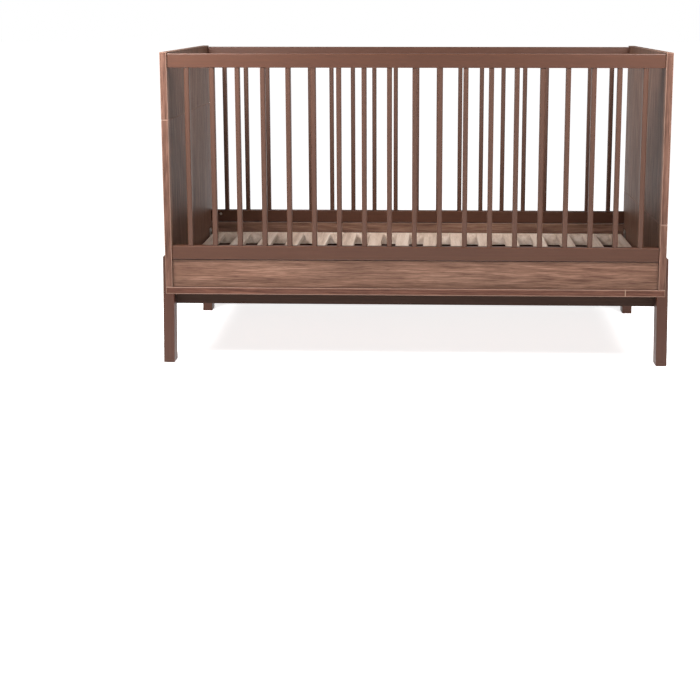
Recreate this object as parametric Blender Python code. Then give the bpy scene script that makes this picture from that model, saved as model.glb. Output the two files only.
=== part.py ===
"""Wooden baby crib for a 1.40 x 0.70 m mattress.

Two laminated end panels stand on a bottom board, which four slightly splayed legs carry.  A barred side
of upright spindles closes the front and the back.  The slatted mattress base rests on four steel brackets
and slides straight up to its higher settings.

Frame: metres, +X along the length, +Y to the back, +Z up, origin on the floor under the middle.
"""
import math

import bmesh
import bpy
from mathutils import Matrix, Vector

# Clearance left between pieces that touch
GAP = 0.0003

# End panels and bottom board
INNER_LENGTH = 1.420
DEPTH = 0.760
BOARD_THICKNESS = 0.020
BOTTOM_BOARD_UNDERSIDE_Z = 0.208
PANEL_TOP_Z = 0.912
LEFT_SEAM_Z = 0.7186
RIGHT_SEAM_Z = 0.4201
BOARD_EDGE_RADIUS = 0.0008

# Barred sides
RAIL_HEIGHT = 0.040
RAIL_DEPTH = 0.024
RAIL_SETBACK = 0.004
RAIL_EDGE_RADIUS = 0.0020
TOP_RAIL_TOP_Z = 0.908
BOTTOM_RAIL_TOP_Z = 0.351
SPINDLE_COUNT = 19
SPINDLE_PITCH = 0.07275
SPINDLE_WIDTH = 0.0145
SPINDLE_DEPTH = 0.020
SPINDLE_CHAMFER = 0.0024
DOWEL_RADIUS = 0.0040
DOWEL_LENGTH = 0.012
DOWEL_SIDES = 8
DOWEL_CLEARANCE = 0.0004

# Boards that close the sides below the bottom rails
SIDE_BOARD_HEIGHT = 0.0805
SIDE_BOARD_THICKNESS = 0.018
SIDE_BOARD_SETBACK = 0.009
SIDE_BOARD_END_GAP = 0.0010

# Legs and aprons
LEG_DEPTH = 0.050
LEG_TOP_Z = 0.320
LEG_OUTER_X_AT_FLOOR = 0.7420
LEG_OUTER_X_AT_TOP = 0.7362
LEG_WIDTH_AT_FLOOR = 0.0325
LEG_WIDTH_AT_BOARD = 0.0315
LEG_EDGE_RADIUS = 0.0020
APRON_HEIGHT = 0.0345
APRON_THICKNESS = 0.018
APRON_END_GAP = 0.0008

# Slatted mattress base
BASE_LENGTH = 1.400
BASE_DEPTH = 0.690
BASE_TOP_Z = 0.276
BASE_RAIL_HEIGHT = 0.0355
BASE_RAIL_WIDTH = 0.024
SLAT_COUNT = 16
SLAT_WIDTH = 0.043
SLAT_THICKNESS = 0.014
SLAT_PROUD = 0.0005
SLAT_END_INSET = 0.006
SLAT_EDGE_RADIUS = 0.0015
BASE_STEP = 0.120
BASE_STEPS = 2

# Brackets under the base
BRACKET_WIDTH = 0.030
BRACKET_THICKNESS = 0.002
BRACKET_REACH = 0.030
BRACKET_HEIGHT = 0.055
BRACKET_INSET = 0.021
SCREW_ABOVE_BASE_TOP = 0.008
SCREW_HOLE_RADIUS = 0.0025
SCREW_HOLE_DEPTH = 0.012

# Bolts that pull the rails against the end panels
BOLT_BELOW_RAIL_TOP = 0.013
BOLT_RADIUS = 0.0035
BOLT_HEAD_RADIUS = 0.0070
BOLT_HEAD_DEPTH = 0.0040
NUT_FROM_PANEL = 0.034
NUT_RADIUS = 0.0050
NUT_BORE_DEPTH = 0.017
BORE_SIDES = 12

# Worked out from the dimensions above
HALF_LENGTH = INNER_LENGTH / 2
HALF_DEPTH = DEPTH / 2
PANEL_OUTER_X = HALF_LENGTH + BOARD_THICKNESS
BOTTOM_BOARD_TOP_Z = BOTTOM_BOARD_UNDERSIDE_Z + BOARD_THICKNESS
RAIL_Y = HALF_DEPTH - RAIL_SETBACK - RAIL_DEPTH / 2
BASE_UNDERSIDE_Z = BASE_TOP_Z - SLAT_PROUD - BASE_RAIL_HEIGHT
BRACKET_Y = BASE_DEPTH / 2 - BRACKET_INSET
SCREW_Z = BASE_TOP_Z + SCREW_ABOVE_BASE_TOP
NUT_BORE_HEIGHT = RAIL_HEIGHT - BOLT_BELOW_RAIL_TOP + NUT_RADIUS
CUT_OVERSHOOT = 0.002
SHARP_ANGLE = math.radians(50)

LEFT, RIGHT = -1, 1
FRONT, REAR = -1, 1


def clear_scene():
    """Remove every object the file opened with."""
    for existing in list(bpy.data.objects):
        bpy.data.objects.remove(existing, do_unlink=True)


def make_material(name, colour, roughness, metallic=0.0):
    material = bpy.data.materials.new(name)
    material.use_nodes = True
    shader = material.node_tree.nodes["Principled BSDF"]
    shader.inputs["Base Color"].default_value = (*colour, 1.0)
    shader.inputs["Roughness"].default_value = roughness
    shader.inputs["Metallic"].default_value = metallic
    material.diffuse_color = (*colour, 1.0)
    return material


def add_group(name, location, parent=None):
    """An empty that places one sub-assembly."""
    empty = bpy.data.objects.new(name, None)
    empty.location = location
    empty.parent = parent
    bpy.context.collection.objects.link(empty)
    return empty


def add_object(name, mesh, location, parent, material):
    piece = bpy.data.objects.new(name, mesh)
    piece.location = location
    piece.parent = parent
    bpy.context.collection.objects.link(piece)
    if material.name not in mesh.materials:
        mesh.materials.append(material)
    return piece


def finish_mesh(bm, name, smooth=False):
    bmesh.ops.recalc_face_normals(bm, faces=bm.faces)
    mesh = bpy.data.meshes.new(name)
    bm.to_mesh(mesh)
    bm.free()
    if smooth:
        mesh.shade_smooth()
        mesh.set_sharp_from_angle(angle=SHARP_ANGLE)
    return mesh


def add_box_to(bm, size, centre=(0, 0, 0)):
    """A box of the given size, in an open bmesh."""
    place = Matrix.Translation(Vector(centre)) @ Matrix.Diagonal(Vector((*size, 1.0)))
    return bmesh.ops.create_cube(bm, size=1.0, matrix=place)["verts"]


def add_turned_to(bm, stations, sides, place):
    """A turned solid: stations are (distance along the axis, radius), and place stands the +Z axis up."""
    rings = []
    for distance, radius in stations:
        ring = []
        for step in range(sides):
            angle = math.tau * (step + 0.5) / sides
            point = Vector((radius * math.cos(angle), radius * math.sin(angle), distance))
            ring.append(bm.verts.new(place @ point))
        rings.append(ring)
    skin_rings(bm, rings)


def skin_rings(bm, rings):
    """Join rings of equal count into one closed skin with flat ends."""
    for lower, upper in zip(rings, rings[1:]):
        for index in range(len(lower)):
            following = (index + 1) % len(lower)
            bm.faces.new((lower[index], lower[following], upper[following], upper[index]))
    bm.faces.new(rings[0][::-1])
    bm.faces.new(rings[-1])


def along_x(x, y, z, sign=1):
    """Stands a turned solid's axis along X, pointing to +X or -X."""
    return Matrix.Translation(Vector((x, y, z))) @ Matrix.Rotation(sign * math.pi / 2, 4, "Y")


def along_y(x, y, z, sign=1):
    """Stands a turned solid's axis along Y, pointing to +Y or -Y."""
    return Matrix.Translation(Vector((x, y, z))) @ Matrix.Rotation(-sign * math.pi / 2, 4, "X")


def along_z(x, y, z, sign=1):
    """Stands a turned solid's axis along Z, pointing up or down."""
    turn = Matrix.Identity(4) if sign > 0 else Matrix.Rotation(math.pi, 4, "X")
    return Matrix.Translation(Vector((x, y, z))) @ turn


def bevel_edges(piece, width, segments):
    rounding = piece.modifiers.new("edges", "BEVEL")
    rounding.width = width
    rounding.segments = segments
    rounding.limit_method = "ANGLE"
    rounding.angle_limit = math.radians(40)


def cut(piece, cutter_mesh, parent):
    """Take a cutter mesh, drawn in the parent's frame, out of a piece."""
    cutter = bpy.data.objects.new(cutter_mesh.name, cutter_mesh)
    cutter.parent = parent
    cutter.hide_render = True
    cutter.display_type = "WIRE"
    bpy.context.collection.objects.link(cutter)
    opening = piece.modifiers.new("openings", "BOOLEAN")
    opening.operation = "DIFFERENCE"
    opening.solver = "EXACT"
    opening.object = cutter


def add_board(name, low, high, parent, material, radius=BOARD_EDGE_RADIUS, segments=1):
    """A straight board between two opposite corners, with eased edges."""
    low, high = Vector(low), Vector(high)
    bm = bmesh.new()
    add_box_to(bm, high - low)
    piece = add_object(name, finish_mesh(bm, name), (low + high) / 2, parent, material)
    bevel_edges(piece, radius, segments)
    return piece


# ---------------------------------------------------------------- end panels

def end_board_openings(name, side, z_low, z_high):
    """Bolt holes with sunk head seats, and the bracket screw holes, that fall on this board."""
    bm = bmesh.new()
    outer_x = side * (PANEL_OUTER_X + CUT_OVERSHOOT)
    seat = CUT_OVERSHOOT + BOLT_HEAD_DEPTH
    through = BOARD_THICKNESS + 2 * CUT_OVERSHOOT
    bolt = [(0, BOLT_HEAD_RADIUS), (seat, BOLT_HEAD_RADIUS), (seat, BOLT_RADIUS), (through, BOLT_RADIUS)]
    for rail_top in (BOTTOM_RAIL_TOP_Z, TOP_RAIL_TOP_Z):
        z = rail_top - BOLT_BELOW_RAIL_TOP
        if z_low < z < z_high:
            for y in (-RAIL_Y, RAIL_Y):
                add_turned_to(bm, bolt, BORE_SIDES, along_x(outer_x, y, z, -side))
    inner_x = side * (HALF_LENGTH - CUT_OVERSHOOT)
    screw = [(0, SCREW_HOLE_RADIUS), (CUT_OVERSHOOT + SCREW_HOLE_DEPTH, SCREW_HOLE_RADIUS)]
    for step in range(BASE_STEPS + 1):
        z = SCREW_Z + step * BASE_STEP
        if z_low < z < z_high:
            for y in (-BRACKET_Y, BRACKET_Y):
                add_turned_to(bm, screw, BORE_SIDES, along_x(inner_x, y, z, side))
    return finish_mesh(bm, name + "_openings")


def build_end_panel(word, side, seam_z, frame, material):
    """One end panel: a lower and an upper board, butted edge to edge at the seam."""
    inner, outer = sorted((side * HALF_LENGTH, side * PANEL_OUTER_X))
    spans = {
        "lower": (BOTTOM_BOARD_TOP_Z + GAP, seam_z - GAP),
        "upper": (seam_z + GAP, PANEL_TOP_Z),
    }
    for level, (z_low, z_high) in spans.items():
        name = f"{word}_end_board_{level}"
        board = add_board(name, (inner, -HALF_DEPTH, z_low), (outer, HALF_DEPTH, z_high), frame, material)
        cut(board, end_board_openings(name, side, z_low, z_high), frame)


# ---------------------------------------------------------------- barred sides

def spindle_places():
    """Positions of the spindles along the rails, evenly spaced about the middle."""
    first = -SPINDLE_PITCH * (SPINDLE_COUNT - 1) / 2
    return [first + SPINDLE_PITCH * index for index in range(SPINDLE_COUNT)]


def rail_dowel_bores(name, dowel_face_z, into_rail):
    """Dowel holes towards the spindles; into_rail is +1 for upward holes and -1 for downward ones."""
    bm = bmesh.new()
    radius = DOWEL_RADIUS + DOWEL_CLEARANCE
    hole = [(-CUT_OVERSHOOT, radius), (DOWEL_LENGTH + 2 * GAP, radius)]
    for x in spindle_places():
        add_turned_to(bm, hole, DOWEL_SIDES, along_z(x, 0, dowel_face_z, into_rail))
    return finish_mesh(bm, name + "_dowel_bores")


def nut_bores_from_below(name, face_z):
    """Cross bores for the barrel nuts, drilled up from a rail's underside."""
    bm = bmesh.new()
    bore = [(-CUT_OVERSHOOT, NUT_RADIUS), (NUT_BORE_HEIGHT, NUT_RADIUS)]
    for end in (LEFT, RIGHT):
        add_turned_to(bm, bore, BORE_SIDES, along_z(end * (HALF_LENGTH - NUT_FROM_PANEL), 0, face_z))
    return finish_mesh(bm, name + "_nut_bores")


def nut_bores_from_inside(name, side, bolt_z):
    """Cross bores for the barrel nuts, drilled in from the face towards the mattress."""
    bm = bmesh.new()
    bore = [(-CUT_OVERSHOOT, NUT_RADIUS), (NUT_BORE_DEPTH, NUT_RADIUS)]
    for end in (LEFT, RIGHT):
        x = end * (HALF_LENGTH - NUT_FROM_PANEL)
        add_turned_to(bm, bore, BORE_SIDES, along_y(x, -side * RAIL_DEPTH / 2, bolt_z, side))
    return finish_mesh(bm, name + "_nut_bores")


def rail_bolt_bores(name, top_z):
    """Bolt bores from the rail's ends to the barrel nuts."""
    bm = bmesh.new()
    length = NUT_FROM_PANEL + NUT_RADIUS / 2
    bore = [(-CUT_OVERSHOOT, BOLT_RADIUS), (length, BOLT_RADIUS)]
    for end in (LEFT, RIGHT):
        place = along_x(end * HALF_LENGTH, 0, top_z - BOLT_BELOW_RAIL_TOP, -end)
        add_turned_to(bm, bore, BORE_SIDES, place)
    return finish_mesh(bm, name + "_bolt_bores")


def build_rail(name, top_z, group, material):
    """A rail between the end panels, with its bolt bores."""
    half = Vector((HALF_LENGTH - GAP, RAIL_DEPTH / 2, RAIL_HEIGHT / 2))
    centre = Vector((0, 0, top_z - RAIL_HEIGHT / 2))
    rail = add_board(name, centre - half, centre + half, group, material, RAIL_EDGE_RADIUS, 2)
    cut(rail, rail_bolt_bores(name, top_z), group)
    return rail


def spindle_section(z):
    """The spindle's rectangular outline with chamfered corners, counter-clockwise."""
    half_width, half_depth, cut_off = SPINDLE_WIDTH / 2, SPINDLE_DEPTH / 2, SPINDLE_CHAMFER
    corner = [(half_width, half_depth - cut_off), (half_width - cut_off, half_depth)]
    outline = corner + [(-x, y) for x, y in reversed(corner)]
    outline += [(-x, -y) for x, y in outline]
    return [Vector((x, y, z)) for x, y in outline]


def dowel_section(z):
    """The round dowel that enters the rail, with as many points as the spindle's outline."""
    angles = [math.tau * (step + 0.5) / DOWEL_SIDES for step in range(DOWEL_SIDES)]
    return [Vector((DOWEL_RADIUS * math.cos(a), DOWEL_RADIUS * math.sin(a), z)) for a in angles]


def spindle_mesh(length):
    """One spindle with a dowel turned on each end, its origin at half height."""
    half = length / 2
    sections = [
        dowel_section(-half - DOWEL_LENGTH),
        dowel_section(-half),
        spindle_section(-half),
        spindle_section(half),
        dowel_section(half),
        dowel_section(half + DOWEL_LENGTH),
    ]
    bm = bmesh.new()
    skin_rings(bm, [[bm.verts.new(point) for point in section] for section in sections])
    return finish_mesh(bm, "spindle", smooth=True)


def build_barred_side(word, side, frame, material):
    """Top rail, bottom rail and the spindles dowelled between them."""
    group = add_group(f"{word}_barred_side", (0, side * RAIL_Y, 0), frame)
    top_face = TOP_RAIL_TOP_Z - RAIL_HEIGHT
    name = f"{word}_top_rail"
    top_rail = build_rail(name, TOP_RAIL_TOP_Z, group, material)
    cut(top_rail, rail_dowel_bores(name, top_face, 1), group)
    cut(top_rail, nut_bores_from_below(name, top_face), group)
    name = f"{word}_bottom_rail"
    bottom_rail = build_rail(name, BOTTOM_RAIL_TOP_Z, group, material)
    cut(bottom_rail, rail_dowel_bores(name, BOTTOM_RAIL_TOP_Z, -1), group)
    cut(bottom_rail, nut_bores_from_inside(name, side, BOTTOM_RAIL_TOP_Z - BOLT_BELOW_RAIL_TOP), group)
    length = top_face - BOTTOM_RAIL_TOP_Z - 2 * GAP
    middle = (top_face + BOTTOM_RAIL_TOP_Z) / 2
    mesh = spindle_mesh(length)
    for number, x in enumerate(spindle_places(), start=1):
        add_object(f"{word}_spindle_{number:02d}", mesh, (x, 0, middle), group, material)


# ---------------------------------------------------------------- bottom, legs and aprons

def build_bottom(frame, laminate):
    """The bottom board, and the side boards that stand on it below the bottom rails."""
    add_board(
        "bottom_board",
        (-PANEL_OUTER_X, -HALF_DEPTH, BOTTOM_BOARD_UNDERSIDE_Z),
        (PANEL_OUTER_X, HALF_DEPTH, BOTTOM_BOARD_TOP_Z),
        frame,
        laminate,
    )
    half_length = HALF_LENGTH - SIDE_BOARD_END_GAP
    z_low = BOTTOM_BOARD_TOP_Z + GAP
    for word, side in (("front", FRONT), ("rear", REAR)):
        face = side * (HALF_DEPTH - SIDE_BOARD_SETBACK)
        y_low, y_high = sorted((face, face - side * SIDE_BOARD_THICKNESS))
        low = (-half_length, y_low, z_low)
        high = (half_length, y_high, z_low + SIDE_BOARD_HEIGHT)
        add_board(f"{word}_side_board", low, high, frame, laminate)


def leg_outline(end):
    """The leg seen from the front: a splayed post whose thin upper part laps the end panel."""
    notch_z = BOTTOM_BOARD_UNDERSIDE_Z - GAP
    notch_x = PANEL_OUTER_X + GAP
    slope = (LEG_OUTER_X_AT_TOP - LEG_OUTER_X_AT_FLOOR) / LEG_TOP_Z
    inner_at_notch = LEG_OUTER_X_AT_FLOOR + slope * notch_z - LEG_WIDTH_AT_BOARD
    points = [
        (LEG_OUTER_X_AT_FLOOR - LEG_WIDTH_AT_FLOOR, 0),
        (LEG_OUTER_X_AT_FLOOR, 0),
        (LEG_OUTER_X_AT_TOP, LEG_TOP_Z),
        (notch_x, LEG_TOP_Z),
        (notch_x, notch_z),
        (inner_at_notch, notch_z),
    ]
    return [(end * x, z) for x, z in points]


def prism_mesh(name, outline, depth, edge_radius=0.0):
    """An outline in X and Z drawn out along Y, centred on Y, with its outer edges rounded."""
    bm = bmesh.new()
    front = bm.faces.new([bm.verts.new((x, -depth / 2, z)) for x, z in outline])
    drawn = bmesh.ops.extrude_face_region(bm, geom=[front])["geom"]
    moved = [item for item in drawn if isinstance(item, bmesh.types.BMVert)]
    bmesh.ops.translate(bm, verts=moved, vec=(0, depth, 0))
    bmesh.ops.recalc_face_normals(bm, faces=bm.faces)
    if edge_radius:
        outer_edges = [edge for edge in bm.edges if edge.is_convex]
        bmesh.ops.bevel(bm, geom=outer_edges, offset=edge_radius, segments=2, profile=0.5, affect="EDGES")
    return finish_mesh(bm, name, smooth=edge_radius > 0)


def build_legs(frame, material):
    for end_word, end in (("left", LEFT), ("right", RIGHT)):
        for word, side in (("front", FRONT), ("rear", REAR)):
            name = f"{word}_{end_word}_leg"
            mesh = prism_mesh(name, leg_outline(end), LEG_DEPTH, LEG_EDGE_RADIUS)
            add_object(name, mesh, (0, side * (HALF_DEPTH - LEG_DEPTH / 2), 0), frame, material)


def build_aprons(frame, material):
    """Narrow boards under the bottom board, flush with the inner sides of the legs."""
    inner_x = min(x for x, z in leg_outline(RIGHT) if 0 < z < BOTTOM_BOARD_UNDERSIDE_Z)
    half_length = inner_x - APRON_END_GAP
    z_high = BOTTOM_BOARD_UNDERSIDE_Z - GAP
    for word, side in (("front", FRONT), ("rear", REAR)):
        back = side * (HALF_DEPTH - LEG_DEPTH)
        y_low, y_high = sorted((back, back + side * APRON_THICKNESS))
        low = (-half_length, y_low, z_high - APRON_HEIGHT)
        add_board(f"{word}_apron", low, (half_length, y_high, z_high), frame, material)


# ---------------------------------------------------------------- mattress base and its brackets

def slat_places():
    """Positions of the slats, the end ones flush with the ends of the base."""
    first = -(BASE_LENGTH - SLAT_WIDTH) / 2
    pitch = (BASE_LENGTH - SLAT_WIDTH) / (SLAT_COUNT - 1)
    return [first + pitch * index for index in range(SLAT_COUNT)]


def base_slats_mesh(top):
    """The slats as separate bars with eased edges, drawn from the base's underside."""
    bm = bmesh.new()
    for x in slat_places():
        size = (SLAT_WIDTH, BASE_DEPTH - 2 * SLAT_END_INSET, SLAT_THICKNESS)
        add_box_to(bm, size, (x, 0, top - SLAT_THICKNESS / 2))
    bmesh.ops.bevel(bm, geom=list(bm.edges), offset=SLAT_EDGE_RADIUS, segments=1, affect="EDGES")
    return finish_mesh(bm, "slats")


def build_slatted_base(frame, material):
    """Two long rails with the slats let into their tops, joined as one grille."""
    bm = bmesh.new()
    rail_y = (BASE_DEPTH - BASE_RAIL_WIDTH) / 2
    for y in (-rail_y, rail_y):
        size = (BASE_LENGTH - 2 * SLAT_EDGE_RADIUS, BASE_RAIL_WIDTH, BASE_RAIL_HEIGHT)
        add_box_to(bm, size, (0, y, BASE_RAIL_HEIGHT / 2))
    mesh = finish_mesh(bm, "slatted_base")
    base = add_object("slatted_base", mesh, (0, 0, BASE_UNDERSIDE_Z), frame, material)
    slats = bpy.data.objects.new("slats", base_slats_mesh(BASE_TOP_Z - BASE_UNDERSIDE_Z))
    slats.parent = base
    slats.hide_render = True
    slats.display_type = "WIRE"
    bpy.context.collection.objects.link(slats)
    joined = base.modifiers.new("slats", "BOOLEAN")
    joined.operation = "UNION"
    joined.solver = "EXACT"
    joined.object = slats


def bracket_outline(end):
    """The bracket seen from the front: one leg up the end panel, one leg under the base."""
    x_panel = HALF_LENGTH - GAP
    x_leg = x_panel - BRACKET_THICKNESS
    x_tip = x_panel - BRACKET_REACH
    z_top = BASE_UNDERSIDE_Z - GAP
    z_bottom = z_top - BRACKET_THICKNESS
    z_end = z_bottom + BRACKET_HEIGHT
    points = [
        (x_tip, z_bottom),
        (x_panel, z_bottom),
        (x_panel, z_end),
        (x_leg, z_end),
        (x_leg, z_top),
        (x_tip, z_top),
    ]
    return [(end * x, z) for x, z in points]


def build_brackets(frame, steel):
    """Four steel angle brackets, each with one screw hole above the mattress base."""
    for end_word, end in (("left", LEFT), ("right", RIGHT)):
        for word, side in (("front", FRONT), ("rear", REAR)):
            name = f"{word}_{end_word}_base_bracket"
            mesh = prism_mesh(name, bracket_outline(end), BRACKET_WIDTH)
            bracket = add_object(name, mesh, (0, side * BRACKET_Y, 0), frame, steel)
            bm = bmesh.new()
            start = end * (HALF_LENGTH - BRACKET_THICKNESS - CUT_OVERSHOOT)
            hole = [(0, SCREW_HOLE_RADIUS), (BRACKET_THICKNESS + 2 * CUT_OVERSHOOT, SCREW_HOLE_RADIUS)]
            add_turned_to(bm, hole, BORE_SIDES, along_x(start, side * BRACKET_Y, SCREW_Z, end))
            cut(bracket, finish_mesh(bm, name + "_hole"), frame)


def build_crib():
    clear_scene()
    walnut = make_material("walnut_laminate", (0.250, 0.125, 0.075), 0.45)
    stain = make_material("brown_stained_wood", (0.150, 0.062, 0.038), 0.40)
    leg_stain = make_material("brown_leg_wood", (0.140, 0.065, 0.042), 0.42)
    beech = make_material("raw_slat_wood", (0.640, 0.520, 0.430), 0.65)
    steel = make_material("zinc_plated_steel", (0.620, 0.620, 0.620), 0.35, 1.0)

    frame = add_group("crib", (0, 0, 0))
    build_end_panel("left", LEFT, LEFT_SEAM_Z, frame, walnut)
    build_end_panel("right", RIGHT, RIGHT_SEAM_Z, frame, walnut)
    build_barred_side("front", FRONT, frame, stain)
    build_barred_side("rear", REAR, frame, stain)
    build_bottom(frame, walnut)
    build_legs(frame, leg_stain)
    build_aprons(frame, leg_stain)
    build_brackets(frame, steel)
    build_slatted_base(frame, beech)


build_crib()
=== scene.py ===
"""Looks for the wooden baby crib.

Procedural wood and metal on the CAD nodes, the small fasteners, the light and the camera.
"""
import math

import bmesh
import bpy
from mathutils import Matrix, Vector


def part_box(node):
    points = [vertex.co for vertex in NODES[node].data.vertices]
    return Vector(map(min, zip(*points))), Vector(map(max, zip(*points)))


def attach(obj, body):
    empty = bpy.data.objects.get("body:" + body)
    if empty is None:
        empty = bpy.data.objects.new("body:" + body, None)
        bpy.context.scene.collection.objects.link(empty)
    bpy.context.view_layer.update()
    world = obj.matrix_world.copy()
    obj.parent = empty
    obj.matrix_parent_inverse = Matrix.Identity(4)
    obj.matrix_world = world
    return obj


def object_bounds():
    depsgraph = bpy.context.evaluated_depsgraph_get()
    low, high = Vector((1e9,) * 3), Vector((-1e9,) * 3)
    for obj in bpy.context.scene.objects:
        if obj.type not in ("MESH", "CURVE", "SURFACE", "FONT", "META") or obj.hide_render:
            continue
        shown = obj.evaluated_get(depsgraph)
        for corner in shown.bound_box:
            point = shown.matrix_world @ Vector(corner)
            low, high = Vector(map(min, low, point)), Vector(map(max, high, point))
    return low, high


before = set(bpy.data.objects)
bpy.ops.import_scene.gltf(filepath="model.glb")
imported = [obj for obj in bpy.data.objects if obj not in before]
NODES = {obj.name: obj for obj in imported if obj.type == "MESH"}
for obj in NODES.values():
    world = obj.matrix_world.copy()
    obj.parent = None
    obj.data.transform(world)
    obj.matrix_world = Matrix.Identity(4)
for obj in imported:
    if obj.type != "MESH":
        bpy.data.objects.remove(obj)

CAD_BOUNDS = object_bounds()

LEFT, RIGHT = -1, 1
FRONT, REAR = -1, 1
ENDS = (("left", LEFT), ("right", RIGHT))
SIDES = (("front", FRONT), ("rear", REAR))

# Fasteners, in metres, as the CAD bores hold them
BOLT_BELOW_RAIL_TOP = 0.013
BOLT_HEAD_RADIUS = 0.0064
BOLT_HEAD_HEIGHT = 0.0034
BOLT_HEAD_SUNK = 0.0004
BOLT_SOCKET_RADIUS = 0.0024
BOLT_SOCKET_DEPTH = 0.0022
NUT_FROM_PANEL = 0.034
NUT_RADIUS = 0.0047
NUT_LENGTH = 0.0150
NUT_SLOT_WIDTH = 0.0012
NUT_SLOT_DEPTH = 0.0012
SCREW_HEAD_RADIUS = 0.0050
SCREW_HEAD_HEIGHT = 0.0026
SCREW_SOCKET_RADIUS = 0.0016
SCREW_SOCKET_DEPTH = 0.0014
SCREW_GAP = 0.0001
SCREW_ABOVE_BASE_TOP = 0.008
BRACKET_THICKNESS = 0.002

# How round the fasteners are; the heads' sides are a multiple of six, to suit the hexagonal socket
HEAD_SIDES = 30
NUT_SIDES = 32
SMOOTH_ANGLE = math.radians(35)

# Finishes: places and widths in metres, counts, and the scale of the brushing
SLAT_COUNT = 16
LEDGE_JOINT_X = 0.6145
EDGE_BAND_THICKNESS = 0.0007
# The next two widths are of the painted highlight along the walnut boards' edges
PANEL_EDGE_HIGHLIGHT_WIDTH = 0.0024
LEDGE_EDGE_HIGHLIGHT_WIDTH = 0.0032
SPINDLE_ROUNDING = 0.0015
SPINDLE_ROUNDING_SEGMENTS = 3
BRACKET_BRUSH_SCALE = 900.0
FASTENER_BRUSH_SCALE = 2500.0
FLOOR_ROUGHNESS = 0.85

# Finishes: linear colours, and tones that multiply them
WALNUT_DARK = (0.066, 0.033, 0.022)
WALNUT_DEEP = (0.110, 0.058, 0.039)
WALNUT_MIDDLE = (0.150, 0.082, 0.056)
WALNUT_LIGHT = (0.212, 0.123, 0.087)
WALNUT_PORE = (0.044, 0.021, 0.014)
WALNUT_RED_TONE = (1.0, 0.84, 0.79)
# Colour of the painted highlight along the walnut boards' edges
WALNUT_EDGE_HIGHLIGHT = (0.26, 0.16, 0.12)
LEDGE_JOINT = (0.29, 0.19, 0.14)
LEDGE_TONE = (0.64, 0.49, 0.47)
EDGE_BAND_TONE = (0.76, 0.70, 0.72)
NO_TONE = (1.0, 1.0, 1.0)
RAIL_STAIN = (0.060, 0.0220, 0.0113)
SPINDLE_STAIN = (0.0637, 0.0265, 0.0155)
LEG_STAIN = (0.050, 0.0152, 0.0066)
APRON_STAIN = (0.0278, 0.0109, 0.0052)
STAIN_CLOUD_TONE = (0.86, 0.80, 0.80)
SLAT_DARK = (0.440, 0.310, 0.235)
SLAT_MIDDLE = (0.650, 0.510, 0.415)
SLAT_LIGHT = (0.760, 0.640, 0.555)
SLAT_DULL_TONE = (0.78, 0.70, 0.64)
ZINC_DARK = (0.50, 0.49, 0.46)
ZINC_LIGHT = (0.74, 0.73, 0.70)
FLOOR_DARK = (0.92, 0.92, 0.92)
FLOOR_LIGHT = (0.94, 0.94, 0.94)
WHITE = (1.0, 1.0, 1.0, 1.0)

# Camera: X and Z in the frame, forward of the crib's front plane; angles in radians, lens in millimetres
CAMERA_X = 0.0427
CAMERA_FORWARD = 3.9086
CAMERA_Z = 1.0302
CAMERA_PITCH = 0.1755
CAMERA_YAW = 0.0327
CAMERA_LENS = 70.17
CAMERA_SENSOR = 36.0
CAMERA_SHIFT = (-0.05, -0.14)

# Studio: strengths, metres, and softboxes as (name, place, aim, size, power in watts)
BACKDROP_WHITE = 1.0
ROOM_FRONT = 0.045
ROOM_BACK = 0.058
BACKDROP_SHEEN = 0.70
BACKDROP_SHEEN_START = 0.90
FLOOR_REACH = 40.0
FLOOR_GLOW = 0.80
FLOOR_GLOW_FAR = 1.0
FLOOR_GLOW_RISE = (1.2, 3.2)
SOFTBOXES = (
    ("left_softbox", (-1.05, -0.95, 1.55), (-0.6, 0.0, 0.7), (0.6, 0.8), 54.0),
    ("right_softbox", (1.05, -0.95, 1.55), (0.6, 0.0, 0.7), (0.6, 0.8), 37.0),
    ("high_softbox", (0.0, -2.2, 2.4), (0.0, 0.0, 0.5), (2.4, 0.8), 3.0),
    ("front_softbox", (0.0, -3.6, 0.8), (0.0, 0.0, 0.4), (2.5, 1.2), 9.5),
    ("top_softbox", (0.0, 0.30, 3.0), (0.0, 0.25, 0.3), (1.6, 0.4), 2.4),
)


# ---------------------------------------------------------------- node materials

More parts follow.
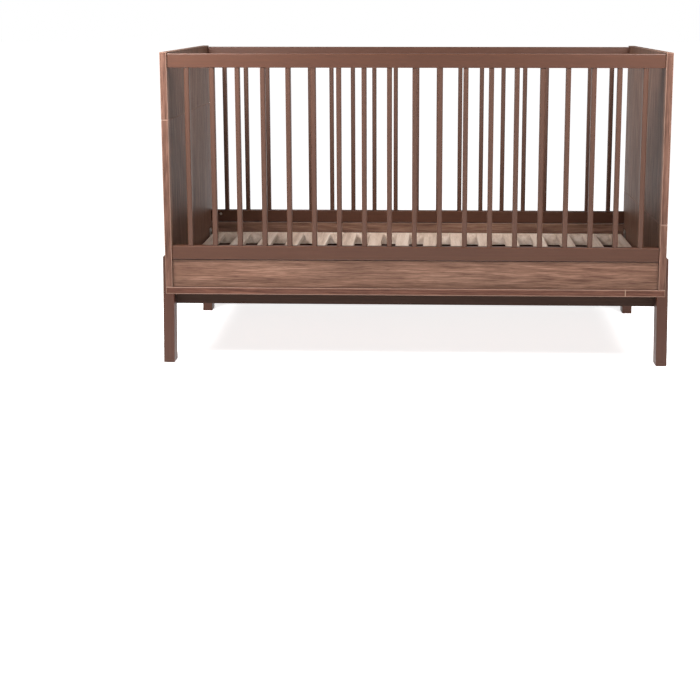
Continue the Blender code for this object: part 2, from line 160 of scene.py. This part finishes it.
class Shading:
    """One procedural material, with short calls for its nodes."""

    def __init__(self, name, roughness, metallic=0.0, coat=0.0, coat_roughness=0.3, specular=0.5):
        self.material = bpy.data.materials.new(name)
        self.material.use_nodes = True
        self.tree = self.material.node_tree
        self.shader = self.tree.nodes["Principled BSDF"]
        self.shader.inputs["Roughness"].default_value = roughness
        self.shader.inputs["Metallic"].default_value = metallic
        self.shader.inputs["Coat Weight"].default_value = coat
        self.shader.inputs["Coat Roughness"].default_value = coat_roughness
        self.shader.inputs["Specular IOR Level"].default_value = specular
        self.place = self.add("ShaderNodeTexCoord").outputs["Object"]

    def add(self, kind, **settings):
        made = self.tree.nodes.new(kind)
        for key, value in settings.items():
            setattr(made, key, value)
        return made

    def feed(self, socket, value):
        if isinstance(value, bpy.types.NodeSocket):
            self.tree.links.new(value, socket)
        else:
            socket.default_value = value

    def math(self, operation, first, second=0.0):
        made = self.add("ShaderNodeMath", operation=operation)
        self.feed(made.inputs[0], first)
        self.feed(made.inputs[1], second)
        return made.outputs[0]

    def weighted(self, *shares):
        """The sum of (value, weight) shares."""
        total, *others = [self.math("MULTIPLY", value, weight) for value, weight in shares]
        for share in others:
            total = self.math("ADD", total, share)
        return total

    def vector(self, operation, first, second=(0, 0, 0)):
        made = self.add("ShaderNodeVectorMath", operation=operation)
        self.feed(made.inputs[0], first)
        self.feed(made.inputs[1], second)
        return made.outputs[0]

    def split(self, vector):
        made = self.add("ShaderNodeSeparateXYZ")
        self.feed(made.inputs[0], vector)
        return made.outputs

    def join(self, x, y, z):
        made = self.add("ShaderNodeCombineXYZ")
        for socket, value in zip(made.inputs, (x, y, z)):
            self.feed(socket, value)
        return made.outputs[0]

    def noise(self, vector, scale, detail=3.0, roughness=0.55, distortion=0.0):
        made = self.add("ShaderNodeTexNoise")
        self.feed(made.inputs["Vector"], vector)
        made.inputs["Scale"].default_value = scale
        made.inputs["Detail"].default_value = detail
        made.inputs["Roughness"].default_value = roughness
        made.inputs["Distortion"].default_value = distortion
        return made.outputs["Fac"]

    def remap(self, value, low, high, to_low=0.0, to_high=1.0, smooth=False):
        made = self.add("ShaderNodeMapRange", clamp=True)
        made.interpolation_type = "SMOOTHSTEP" if smooth else "LINEAR"
        self.feed(made.inputs["Value"], value)
        self.feed(made.inputs["From Min"], low)
        self.feed(made.inputs["From Max"], high)
        self.feed(made.inputs["To Min"], to_low)
        self.feed(made.inputs["To Max"], to_high)
        return made.outputs["Result"]

    def ramp(self, factor, stops):
        made = self.add("ShaderNodeValToRGB")
        self.feed(made.inputs["Fac"], factor)
        elements = made.color_ramp.elements
        while len(elements) < len(stops):
            elements.new(0.5)
        for element, (position, colour) in zip(elements, stops):
            element.position = position
            element.color = (*colour, 1.0)
        return made.outputs["Color"]

    def mix(self, factor, first, second, blend_type="MIX"):
        made = self.add("ShaderNodeMix", data_type="RGBA", blend_type=blend_type)
        self.feed(made.inputs["Factor"], factor)
        self.feed(made.inputs["A"], first if isinstance(first, bpy.types.NodeSocket) else (*first, 1.0))
        self.feed(made.inputs["B"], second if isinstance(second, bpy.types.NodeSocket) else (*second, 1.0))
        return made.outputs["Result"]

    def grain_space(self, axis, offset):
        """Coordinates with the grain along Z, shifted so that each board shows another stretch of grain."""
        x, y, z = self.split(self.place)
        turned = {"X": (y, z, x), "Y": (x, z, y), "Z": (x, y, z)}[axis]
        return self.vector("ADD", self.join(*turned), offset)

    def stretched(self, grain, across, along):
        return self.vector("MULTIPLY", grain, (across, across, along))

    def edge_distance(self, low, high):
        """Distance from the nearest edge of the box between two corners, on the box's surface."""
        centre = (low + high) / 2
        half = (high - low) / 2
        away = self.vector("ABSOLUTE", self.vector("SUBTRACT", self.place, tuple(centre)))
        x, y, z = self.split(self.vector("SUBTRACT", tuple(half), away))
        nearest = self.math("MINIMUM", self.math("MINIMUM", x, y), z)
        farthest = self.math("MAXIMUM", self.math("MAXIMUM", x, y), z)
        total = self.math("ADD", self.math("ADD", x, y), z)
        return self.math("SUBTRACT", self.math("SUBTRACT", total, nearest), farthest)

    def bump(self, height, distance, strength=1.0):
        made = self.add("ShaderNodeBump")
        made.inputs["Strength"].default_value = strength
        made.inputs["Distance"].default_value = distance
        self.feed(made.inputs["Height"], height)
        self.feed(self.shader.inputs["Normal"], made.outputs["Normal"])

    def finish(self, colour, roughness):
        self.feed(self.shader.inputs["Base Color"], colour)
        self.feed(self.shader.inputs["Roughness"], roughness)
        return self.material


def scaled(colour, factor):
    return tuple(channel * factor for channel in colour)


def walnut(name, axis, low, high, offset, tone=NO_TONE, highlight_width=PANEL_EDGE_HIGHLIGHT_WIDTH, joint_x=None):
    """Walnut-pattern laminate: arched figure, streaks, fine dark pores and a painted highlight, a lighter
    line along the edges.

    Upright boards are a little darker on their front and rear edges.  A joint is a thin light line at one X.
    """
    made = Shading(name, 0.50, coat=0.01, coat_roughness=0.35, specular=0.14)
    grain = made.grain_space(axis, offset)
    sway = made.noise(made.stretched(grain, 5.0, 2.2), 1.0, 2.0)
    drift = made.math("MULTIPLY", made.math("SUBTRACT", sway, 0.5), 0.014)
    grain = made.vector("ADD", grain, made.join(drift, drift, 0.0))
    hill = made.noise(made.stretched(grain, 9.0, 0.8), 1.0, 1.0, 0.4)
    arches = made.remap(made.math("SINE", made.math("MULTIPLY", hill, 110.0)), -1.0, 1.0)
    figure = made.noise(made.stretched(grain, 60.0, 3.0), 1.0, 2.0, 0.5)
    streak = made.noise(made.stretched(grain, 300.0, 10.0), 1.0, 3.0, 0.6)
    fibre = made.noise(made.stretched(grain, 700.0, 30.0), 1.0, 3.0, 0.6)
    blend = made.weighted((figure, 0.20), (streak, 0.46), (fibre, 0.28), (arches, 0.06))
    base = made.ramp(blend, [
        (0.38, WALNUT_DARK),
        (0.46, WALNUT_DEEP),
        (0.54, WALNUT_MIDDLE),
        (0.62, WALNUT_LIGHT),
    ])
    pores = made.remap(fibre, 0.30, 0.42, 1.0, 0.0, smooth=True)
    colour = made.mix(made.math("MULTIPLY", pores, 0.50), base, WALNUT_PORE)
    red = made.noise(made.stretched(grain, 12.0, 1.6), 1.0, 2.0)
    colour = made.mix(made.remap(red, 0.35, 0.65, 0.0, 0.40), colour, WALNUT_RED_TONE, "MULTIPLY")
    colour = made.mix(1.0, colour, tone, "MULTIPLY")
    if axis == "Z":
        depth = made.math("ABSOLUTE", made.split(made.place)[1])
        band = made.math("GREATER_THAN", depth, high.y - EDGE_BAND_THICKNESS)
        colour = made.mix(band, colour, EDGE_BAND_TONE, "MULTIPLY")
    # Painted highlight: the board's edges are lightened, standing in for the light that the edges catch
    rim = made.remap(made.edge_distance(low, high), 0.0005, highlight_width, 0.7, 0.0, smooth=True)
    colour = made.mix(rim, colour, WALNUT_EDGE_HIGHLIGHT)
    if joint_x is not None:
        x = made.split(made.place)[0]
        away = made.math("ABSOLUTE", made.math("SUBTRACT", x, joint_x))
        colour = made.mix(made.remap(away, 0.0006, 0.0016, 0.8, 0.0), colour, LEDGE_JOINT)
    made.bump(made.math("ADD", made.math("MULTIPLY", streak, 0.5), fibre), 0.00025, 0.5)
    return made.finish(colour, made.remap(streak, 0.3, 0.7, 0.56, 0.44))


def stained_wood(name, axis, low, high, offset, colour, roughness=0.42, specular=0.30, coat=0.02):
    """Solid wood under a satin brown stain: faint grain, and a painted highlight that lightens the edges."""
    made = Shading(name, roughness, coat=coat, coat_roughness=0.20, specular=specular)
    grain = made.grain_space(axis, offset)
    streak = made.noise(made.stretched(grain, 160.0, 4.0), 1.0, 4.0, 0.6)
    fibre = made.noise(made.stretched(grain, 900.0, 26.0), 1.0, 3.0, 0.6)
    cloud = made.noise(grain, 7.0, 2.0)
    blend = made.weighted((streak, 0.5), (fibre, 0.5))
    base = made.ramp(blend, [(0.32, scaled(colour, 0.86)), (0.52, colour), (0.70, scaled(colour, 1.16))])
    base = made.mix(made.remap(cloud, 0.35, 0.65, 0.0, 0.25), base, STAIN_CLOUD_TONE, "MULTIPLY")
    # Painted highlight: the edges are lightened towards twice the stain's colour, over a width that wanders
    # along them
    highlight_spread = made.noise(grain, 60.0, 3.0)
    width = made.remap(highlight_spread, 0.3, 0.7, 0.0012, 0.0032)
    rim = made.remap(made.edge_distance(low, high), 0.0002, width, 0.55, 0.0, smooth=True)
    base = made.mix(rim, base, scaled(colour, 2.0))
    made.bump(blend, 0.00018, 0.45)
    return made.finish(base, made.remap(blend, 0.35, 0.65, roughness + 0.06, roughness - 0.05))


def raw_slat_wood(name, low, high):
    """Unfinished pale wood: each slat has its own tone, with the grain along it."""
    made = Shading(name, 0.62)
    x, y, z = made.split(made.place)
    pitch = (high.x - low.x) / SLAT_COUNT
    number = made.math("FLOOR", made.math("DIVIDE", made.math("SUBTRACT", x, low.x), pitch))
    tone = made.add("ShaderNodeTexWhiteNoise", noise_dimensions="1D")
    made.feed(tone.inputs["W"], number)
    shift = made.math("MULTIPLY", number, 0.37)
    grain = made.join(x, z, made.math("ADD", y, shift))
    figure = made.noise(made.stretched(grain, 60.0, 2.4), 1.0, 3.0, 0.5)
    fibre = made.noise(made.stretched(grain, 620.0, 18.0), 1.0, 3.0, 0.6)
    blend = made.weighted((figure, 0.6), (fibre, 0.4))
    base = made.ramp(blend, [
        (0.34, SLAT_DARK),
        (0.50, SLAT_MIDDLE),
        (0.64, SLAT_LIGHT),
    ])
    dull = made.remap(tone.outputs["Value"], 0.0, 1.0, 0.0, 0.45)
    base = made.mix(dull, base, SLAT_DULL_TONE, "MULTIPLY")
    made.bump(blend, 0.0004, 0.5)
    return made.finish(base, made.remap(fibre, 0.3, 0.7, 0.72, 0.54))


def zinc_steel(name, brush_scale):
    """Zinc-plated steel with fine brushing and a mottled sheen."""
    made = Shading(name, 0.32, metallic=1.0)
    x, y, z = made.split(made.place)
    brushed = made.noise(made.join(x, y, made.math("MULTIPLY", z, 0.05)), brush_scale, 2.0)
    mottle = made.noise(made.place, 90.0, 3.0)
    colour = made.ramp(mottle, [(0.35, ZINC_DARK), (0.65, ZINC_LIGHT)])
    made.bump(brushed, 0.00006, 0.5)
    return made.finish(colour, made.remap(brushed, 0.3, 0.7, 0.24, 0.42))


# ---------------------------------------------------------------- finishes on the CAD nodes

def dress(node, material):
    piece = NODES[node]
    for holder in piece.material_slots:
        holder.material = material


def soften(node, width, segments):
    """Rounds a node's edges a little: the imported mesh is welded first."""
    piece = NODES[node]
    weld = piece.modifiers.new("weld", "WELD")
    weld.merge_threshold = 0.00002
    rounding = piece.modifiers.new("round", "BEVEL")
    rounding.width = width
    rounding.segments = segments
    rounding.limit_method = "ANGLE"
    rounding.angle_limit = math.radians(30)
    rounding.harden_normals = False


def dress_end_boards():
    """Two boards at each end, with upright grain."""
    for end_index, (word, _) in enumerate(ENDS):
        for level_index, level in enumerate(("lower", "upper")):
            node = f"{word}_end_board_{level}"
            offset = (0.31 * end_index + 0.17 * level_index, 0.4, 1.3 * level_index)
            low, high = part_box(node)
            dress(node, walnut(node + "_walnut", "Z", low, high, offset))


def dress_side_boards():
    for index, node in enumerate(("front_side_board", "rear_side_board")):
        low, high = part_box(node)
        offset = (0.7 * index, 0.2, 2.1 * index)
        dress(node, walnut(node + "_walnut", "X", low, high, offset))


def dress_bottom_board():
    """The board whose front edge shows as a darker ledge, with one joint line."""
    node = "bottom_board"
    low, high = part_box(node)
    offset = (1.4, 0.2, 4.2)
    material = walnut(
        node + "_walnut", "X", low, high, offset, LEDGE_TONE, LEDGE_EDGE_HIGHLIGHT_WIDTH, LEDGE_JOINT_X
    )
    dress(node, material)


def dress_rails(side_index, side):
    for level_index, level in enumerate(("top", "bottom")):
        node = f"{side}_{level}_rail"
        low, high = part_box(node)
        offset = (0.5 * side_index, 0.3 * level_index, 1.7 * side_index)
        dress(node, stained_wood(node + "_stain", "X", low, high, offset, RAIL_STAIN))


def dress_spindles(side_index, side):
    for number, node in enumerate(sorted(n for n in NODES if n.startswith(f"{side}_spindle_"))):
        low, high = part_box(node)
        offset = (0.0, 0.21 * side_index, 0.43 * number)
        material = stained_wood(node + "_stain", "Z", low, high, offset, SPINDLE_STAIN, coat=0.15)
        dress(node, material)
        soften(node, SPINDLE_ROUNDING, SPINDLE_ROUNDING_SEGMENTS)


def dress_legs(side_index, side):
    for end_index, (word, _) in enumerate(ENDS):
        node = f"{side}_{word}_leg"
        low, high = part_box(node)
        offset = (0.9 * end_index, 0.6 * side_index, 0.8)
        dress(node, stained_wood(node + "_stain", "Z", low, high, offset, LEG_STAIN))


def dress_apron(side):
    node = f"{side}_apron"
    low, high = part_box(node)
    offset = (0.2, 0.9, 0.4)
    material = stained_wood(
        node + "_stain", "X", low, high, offset, APRON_STAIN, roughness=0.55, specular=0.15
    )
    dress(node, material)


def dress_stained_wood():
    for side_index, (side, _) in enumerate(SIDES):
        dress_rails(side_index, side)
        dress_spindles(side_index, side)
        dress_legs(side_index, side)
        dress_apron(side)


def dress_base_and_brackets():
    low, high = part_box("slatted_base")
    dress("slatted_base", raw_slat_wood("slat_wood", low, high))
    steel = zinc_steel("bracket_zinc", BRACKET_BRUSH_SCALE)
    for side, _ in SIDES:
        for word, _ in ENDS:
            dress(f"{side}_{word}_base_bracket", steel)


# ---------------------------------------------------------------- fasteners

def turned(bm, stations, sides):
    """A turned solid about +Z from (height, radius) stations; a zero radius closes it.  Returns the rings."""
    rings = []
    for height, radius in stations:
        if radius == 0:
            rings.append([bm.verts.new((0, 0, height))])
            continue
        angles = [math.tau * step / sides for step in range(sides)]
        rings.append([bm.verts.new((radius * math.cos(a), radius * math.sin(a), height)) for a in angles])
    for lower, upper in zip(rings, rings[1:]):
        for step in range(sides):
            following = (step + 1) % sides
            corners = [
                lower[step % len(lower)], lower[following % len(lower)],
                upper[following % len(upper)], upper[step % len(upper)],
            ]
            bm.faces.new(list(dict.fromkeys(corners)))
    return rings


def make_fastener(name, bm, place, material, body="crib_frame"):
    """A zinc-plated piece that stays with the crib's frame."""
    bmesh.ops.recalc_face_normals(bm, faces=bm.faces)
    mesh = bpy.data.meshes.new(name)
    bm.to_mesh(mesh)
    bm.free()
    mesh.shade_smooth()
    mesh.set_sharp_from_angle(angle=SMOOTH_ANGLE)
    mesh.materials.append(material)
    piece = bpy.data.objects.new(name, mesh)
    bpy.context.scene.collection.objects.link(piece)
    piece.matrix_world = place
    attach(piece, body)
    return piece


def facing(x, y, z, axis, sign):
    """Places a piece turned about +Z so that its +Z points along +-X or +-Y."""
    turn = Matrix.Rotation(math.pi / 2, 4, "Y") if axis == "X" else Matrix.Rotation(-math.pi / 2, 4, "X")
    if sign < 0:
        turn = turn @ Matrix.Rotation(math.pi, 4, "X")
    return Matrix.Translation(Vector((x, y, z))) @ turn


def socket_head(bm, radius, height, socket_radius, socket_depth):
    """A low round head with a rounded rim and a hexagonal socket."""
    rim = 0.0006
    socket_lip = socket_radius * 1.25
    half_side = math.pi / 6
    arc = [math.radians(a) for a in (0, 30, 60, 90)]
    shoulder = [(height - rim + rim * math.sin(a), radius - rim + rim * math.cos(a)) for a in arc]
    outer = turned(bm, [(0, 0), (0, radius)] + shoulder + [(height, socket_lip)], HEAD_SIDES)[-1]
    wall_top, wall_foot = [], []
    for vert in outer:
        angle = math.atan2(vert.co.y, vert.co.x)
        sector = (angle + half_side) % (half_side * 2) - half_side
        reach = socket_radius * math.cos(half_side) / math.cos(sector)
        x, y = reach * math.cos(angle), reach * math.sin(angle)
        wall_top.append(bm.verts.new((x, y, height)))
        wall_foot.append(bm.verts.new((x, y, height - socket_depth)))
    for step in range(HEAD_SIDES):
        following = (step + 1) % HEAD_SIDES
        bm.faces.new((outer[step], outer[following], wall_top[following], wall_top[step]))
        bm.faces.new((wall_top[step], wall_top[following], wall_foot[following], wall_foot[step]))
    bm.faces.new(wall_foot)


def barrel_nut(bm):
    """A chamfered cylinder; returns the cutter for the screwdriver slot across its face."""
    chamfer = 0.0005
    turned(bm, [
        (-NUT_LENGTH, 0),
        (-NUT_LENGTH, NUT_RADIUS - chamfer),
        (-NUT_LENGTH + chamfer, NUT_RADIUS),
        (-chamfer, NUT_RADIUS),
        (0, NUT_RADIUS - chamfer),
        (0, 0),
    ], NUT_SIDES)
    cutter = bmesh.new()
    place = Matrix.Diagonal(Vector((NUT_RADIUS * 2.2, NUT_SLOT_WIDTH, NUT_SLOT_DEPTH * 2, 1.0)))
    bmesh.ops.create_cube(cutter, size=1.0, matrix=place)
    return cutter


def cut_slot(piece, cutter):
    """Takes the slot out of the nut and applies the cut, so that no helper object is left."""
    mesh = bpy.data.meshes.new(piece.name + "_slot")
    cutter.to_mesh(mesh)
    cutter.free()
    helper = bpy.data.objects.new(piece.name + "_slot", mesh)
    bpy.context.scene.collection.objects.link(helper)
    helper.matrix_world = piece.matrix_world
    bpy.context.view_layer.update()
    opening = piece.modifiers.new("slot", "BOOLEAN")
    opening.operation = "DIFFERENCE"
    opening.object = helper
    depsgraph = bpy.context.evaluated_depsgraph_get()
    finished = bpy.data.meshes.new_from_object(piece.evaluated_get(depsgraph))
    piece.modifiers.clear()
    piece.data = finished
    bpy.data.objects.remove(helper)


def add_bolt_head(name, outer_x, y, z, end, steel):
    """A bolt head sunk just below the end panel's outer face."""
    bm = bmesh.new()
    socket_head(bm, BOLT_HEAD_RADIUS, BOLT_HEAD_HEIGHT, BOLT_SOCKET_RADIUS, BOLT_SOCKET_DEPTH)
    foot_x = outer_x - end * (BOLT_HEAD_HEIGHT + BOLT_HEAD_SUNK)
    make_fastener(name, bm, facing(foot_x, y, z, "X", end), steel)


def add_barrel_nut(name, place, steel):
    bm = bmesh.new()
    cutter = barrel_nut(bm)
    cut_slot(make_fastener(name, bm, place, steel), cutter)


def add_rail_fasteners(steel):
    """Bolt heads sunk into the end panels, and the barrel nuts that they turn into.

    The nuts lie in the bottom rails' inner faces, and deep in the undersides of the top rails.
    """
    for side_word, side in SIDES:
        for level in ("top", "bottom"):
            low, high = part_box(f"{side_word}_{level}_rail")
            y = (low.y + high.y) / 2
            z = high.z - BOLT_BELOW_RAIL_TOP
            inner_face = low.y if side == REAR else high.y
            for word, end in ENDS:
                panel_low, panel_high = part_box(f"{word}_end_board_lower")
                outer_x = panel_high.x if end == RIGHT else panel_low.x
                inner_x = panel_low.x if end == RIGHT else panel_high.x
                add_bolt_head(f"{side_word}_{word}_{level}_bolt_head", outer_x, y, z, end, steel)
                nut_x = inner_x - end * NUT_FROM_PANEL
                if level == "top":
                    place = Matrix.Translation(Vector((nut_x, y, z - NUT_LENGTH / 2)))
                    place = place @ Matrix.Rotation(math.pi, 4, "X")
                else:
                    place = facing(nut_x, inner_face, z, "Y", -side)
                add_barrel_nut(f"{side_word}_{word}_{level}_barrel_nut", place, steel)


def add_bracket_screws(steel):
    """Socket-head screws that hold the brackets to the end panels."""
    base_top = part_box("slatted_base")[1].z
    for side_word, _ in SIDES:
        for word, end in ENDS:
            low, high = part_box(f"{side_word}_{word}_base_bracket")
            face_x = (high.x - BRACKET_THICKNESS) if end == RIGHT else (low.x + BRACKET_THICKNESS)
            y = (low.y + high.y) / 2
            bm = bmesh.new()
            socket_head(bm, SCREW_HEAD_RADIUS, SCREW_HEAD_HEIGHT, SCREW_SOCKET_RADIUS, SCREW_SOCKET_DEPTH)
            place = facing(face_x - end * SCREW_GAP, y, base_top + SCREW_ABOVE_BASE_TOP, "X", -end)
            make_fastener(f"{side_word}_{word}_bracket_screw", bm, place, steel)


# ---------------------------------------------------------------- floor, light and camera

def add_floor():
    """A plain pale floor, wide enough to fill every view, that glows more away from the crib."""
    bm = bmesh.new()
    signs = [(-1, -1), (1, -1), (1, 1), (-1, 1)]
    corners = [(FLOOR_REACH * x, FLOOR_REACH * y) for x, y in signs]
    bm.faces.new([bm.verts.new((x, y, CAD_BOUNDS[0].z)) for x, y in corners])
    mesh = bpy.data.meshes.new("floor")
    bm.to_mesh(mesh)
    bm.free()
    made = Shading("studio_floor", FLOOR_ROUGHNESS, specular=0.1)
    dust = made.noise(made.place, 1.5, 2.0)
    colour = made.ramp(dust, [(0.3, FLOOR_DARK), (0.7, FLOOR_LIGHT)])
    made.shader.inputs["Emission Color"].default_value = WHITE
    away = made.add("ShaderNodeVectorMath", operation="LENGTH")
    made.feed(away.inputs[0], made.place)
    glow = made.remap(away.outputs["Value"], *FLOOR_GLOW_RISE, FLOOR_GLOW, FLOOR_GLOW_FAR, smooth=True)
    made.feed(made.shader.inputs["Emission Strength"], glow)
    mesh.materials.append(made.finish(colour, FLOOR_ROUGHNESS))
    floor = bpy.data.objects.new("floor", mesh)
    bpy.context.scene.collection.objects.link(floor)


def add_soft_light(name, place, aim, size, power):
    """A rectangular softbox that faces a point."""
    data = bpy.data.lights.new(name, "AREA")
    data.shape = "RECTANGLE"
    data.size, data.size_y = size
    data.energy = power
    light = bpy.data.objects.new(name, data)
    bpy.context.scene.collection.objects.link(light)
    light.location = place
    light.rotation_mode = "QUATERNION"
    light.rotation_quaternion = (Vector(aim) - Vector(place)).to_track_quat("-Z", "Y")
    light.visible_camera = False


def add_room():
    """A white surround to the camera; as light it is dim, with a brighter patch straight behind the crib."""
    world = bpy.data.worlds.new("studio")
    bpy.context.scene.world = world
    world.use_nodes = True
    tree = world.node_tree
    seen = tree.nodes["Background"]
    seen.inputs["Color"].default_value = WHITE
    seen.inputs["Strength"].default_value = BACKDROP_WHITE
    direction = tree.nodes.new("ShaderNodeTexCoord").outputs["Generated"]
    parts = tree.nodes.new("ShaderNodeSeparateXYZ")
    tree.links.new(direction, parts.inputs[0])
    level = tree.nodes.new("ShaderNodeMapRange")
    level.inputs["From Min"].default_value = -1.0
    level.inputs["To Min"].default_value = ROOM_FRONT
    level.inputs["To Max"].default_value = ROOM_BACK
    tree.links.new(parts.outputs["Y"], level.inputs["Value"])
    sheen = tree.nodes.new("ShaderNodeMapRange")
    sheen.interpolation_type = "SMOOTHSTEP"
    sheen.inputs["From Min"].default_value = BACKDROP_SHEEN_START
    sheen.inputs["To Max"].default_value = BACKDROP_SHEEN
    tree.links.new(parts.outputs["Y"], sheen.inputs["Value"])
    total = tree.nodes.new("ShaderNodeMath")
    tree.links.new(level.outputs["Result"], total.inputs[0])
    tree.links.new(sheen.outputs["Result"], total.inputs[1])
    fill = tree.nodes.new("ShaderNodeBackground")
    tree.links.new(total.outputs[0], fill.inputs["Strength"])
    fill.inputs["Color"].default_value = WHITE
    choice = tree.nodes.new("ShaderNodeMixShader")
    path = tree.nodes.new("ShaderNodeLightPath")
    tree.links.new(path.outputs["Is Camera Ray"], choice.inputs["Fac"])
    tree.links.new(fill.outputs[0], choice.inputs[1])
    tree.links.new(seen.outputs[0], choice.inputs[2])
    tree.links.new(choice.outputs[0], tree.nodes["World Output"].inputs["Surface"])


def add_studio():
    """The room, with softboxes to the left, right, front and above."""
    add_room()
    for name, place, aim, size, power in SOFTBOXES:
        add_soft_light(name, place, aim, size, power)
    bpy.context.scene.view_settings.view_transform = "Standard"
    bpy.context.scene.view_settings.look = "None"


def add_camera():
    data = bpy.data.cameras.new("camera")
    data.lens = CAMERA_LENS
    data.sensor_width = CAMERA_SENSOR
    data.shift_x, data.shift_y = CAMERA_SHIFT
    camera = bpy.data.objects.new("camera", data)
    bpy.context.scene.collection.objects.link(camera)
    front_y = CAD_BOUNDS[0].y
    camera.location = (CAMERA_X, front_y - CAMERA_FORWARD, CAMERA_Z)
    camera.rotation_euler = (math.pi / 2 - CAMERA_PITCH, 0.0, CAMERA_YAW)
    bpy.context.scene.camera = camera


def build_scene():
    add_camera()
    dress_end_boards()
    dress_side_boards()
    dress_bottom_board()
    dress_stained_wood()
    dress_base_and_brackets()
    steel = zinc_steel("fastener_zinc", FASTENER_BRUSH_SCALE)
    add_rail_fasteners(steel)
    add_bracket_screws(steel)
    add_floor()
    add_studio()


build_scene()
